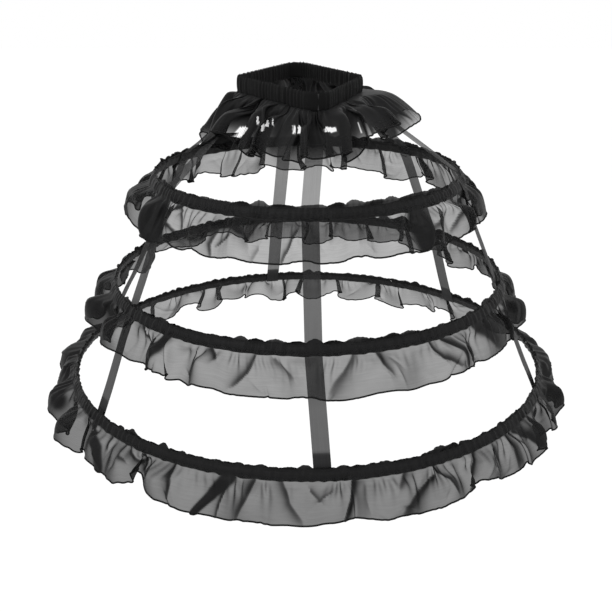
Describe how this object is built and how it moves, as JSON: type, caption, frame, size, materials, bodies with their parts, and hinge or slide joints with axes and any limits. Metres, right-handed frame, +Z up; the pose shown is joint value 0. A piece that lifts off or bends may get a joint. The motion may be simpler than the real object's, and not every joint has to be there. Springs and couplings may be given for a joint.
{
  "type": "crinoline cage",
  "caption": "Open hoop-skirt frame: elastic waistband, hanging tapes and level boned hoops, each casing trimmed with a sheer gathered ruffle.",
  "frame": {"origin": "on the upright axis of the hoops, level with the waistband's top edge, inside the waist opening", "axes": "+Z up through the waist opening, the front faces -Y, +X to the right as seen from the front"},
  "size_m": [0.7108, 0.7108, 0.442],
  "materials": {
    "band_cloth": "matt black ruched cloth",
    "elastic": "black woven elastic",
    "organza": "sheer black organza",
    "ribbon": "half-sheer black ribbon",
    "casing_cloth": "black satin tape",
    "boning": "white coated flat spring steel",
    "ferrule": "crimped steel sleeve"
  },
  "bodies": {
    "root": {"waistband": "band_cloth", "waist_elastic": "elastic", "waist_ruffle": "organza", "tape_front": "ribbon", "tape_front_right": "ribbon", "tape_back_right": "ribbon", "tape_back": "ribbon", "tape_back_left": "ribbon", "tape_front_left": "ribbon", "casing_top": "casing_cloth", "ruffle_top": "organza", "boning_top": "boning", "ferrule_top": "ferrule", "casing_middle": "casing_cloth", "ruffle_middle": "organza", "boning_middle": "boning", "ferrule_middle": "ferrule", "casing_bottom": "casing_cloth", "ruffle_bottom": "organza", "boning_bottom": "boning", "ferrule_bottom": "ferrule"}
  },
  "joints": []
}
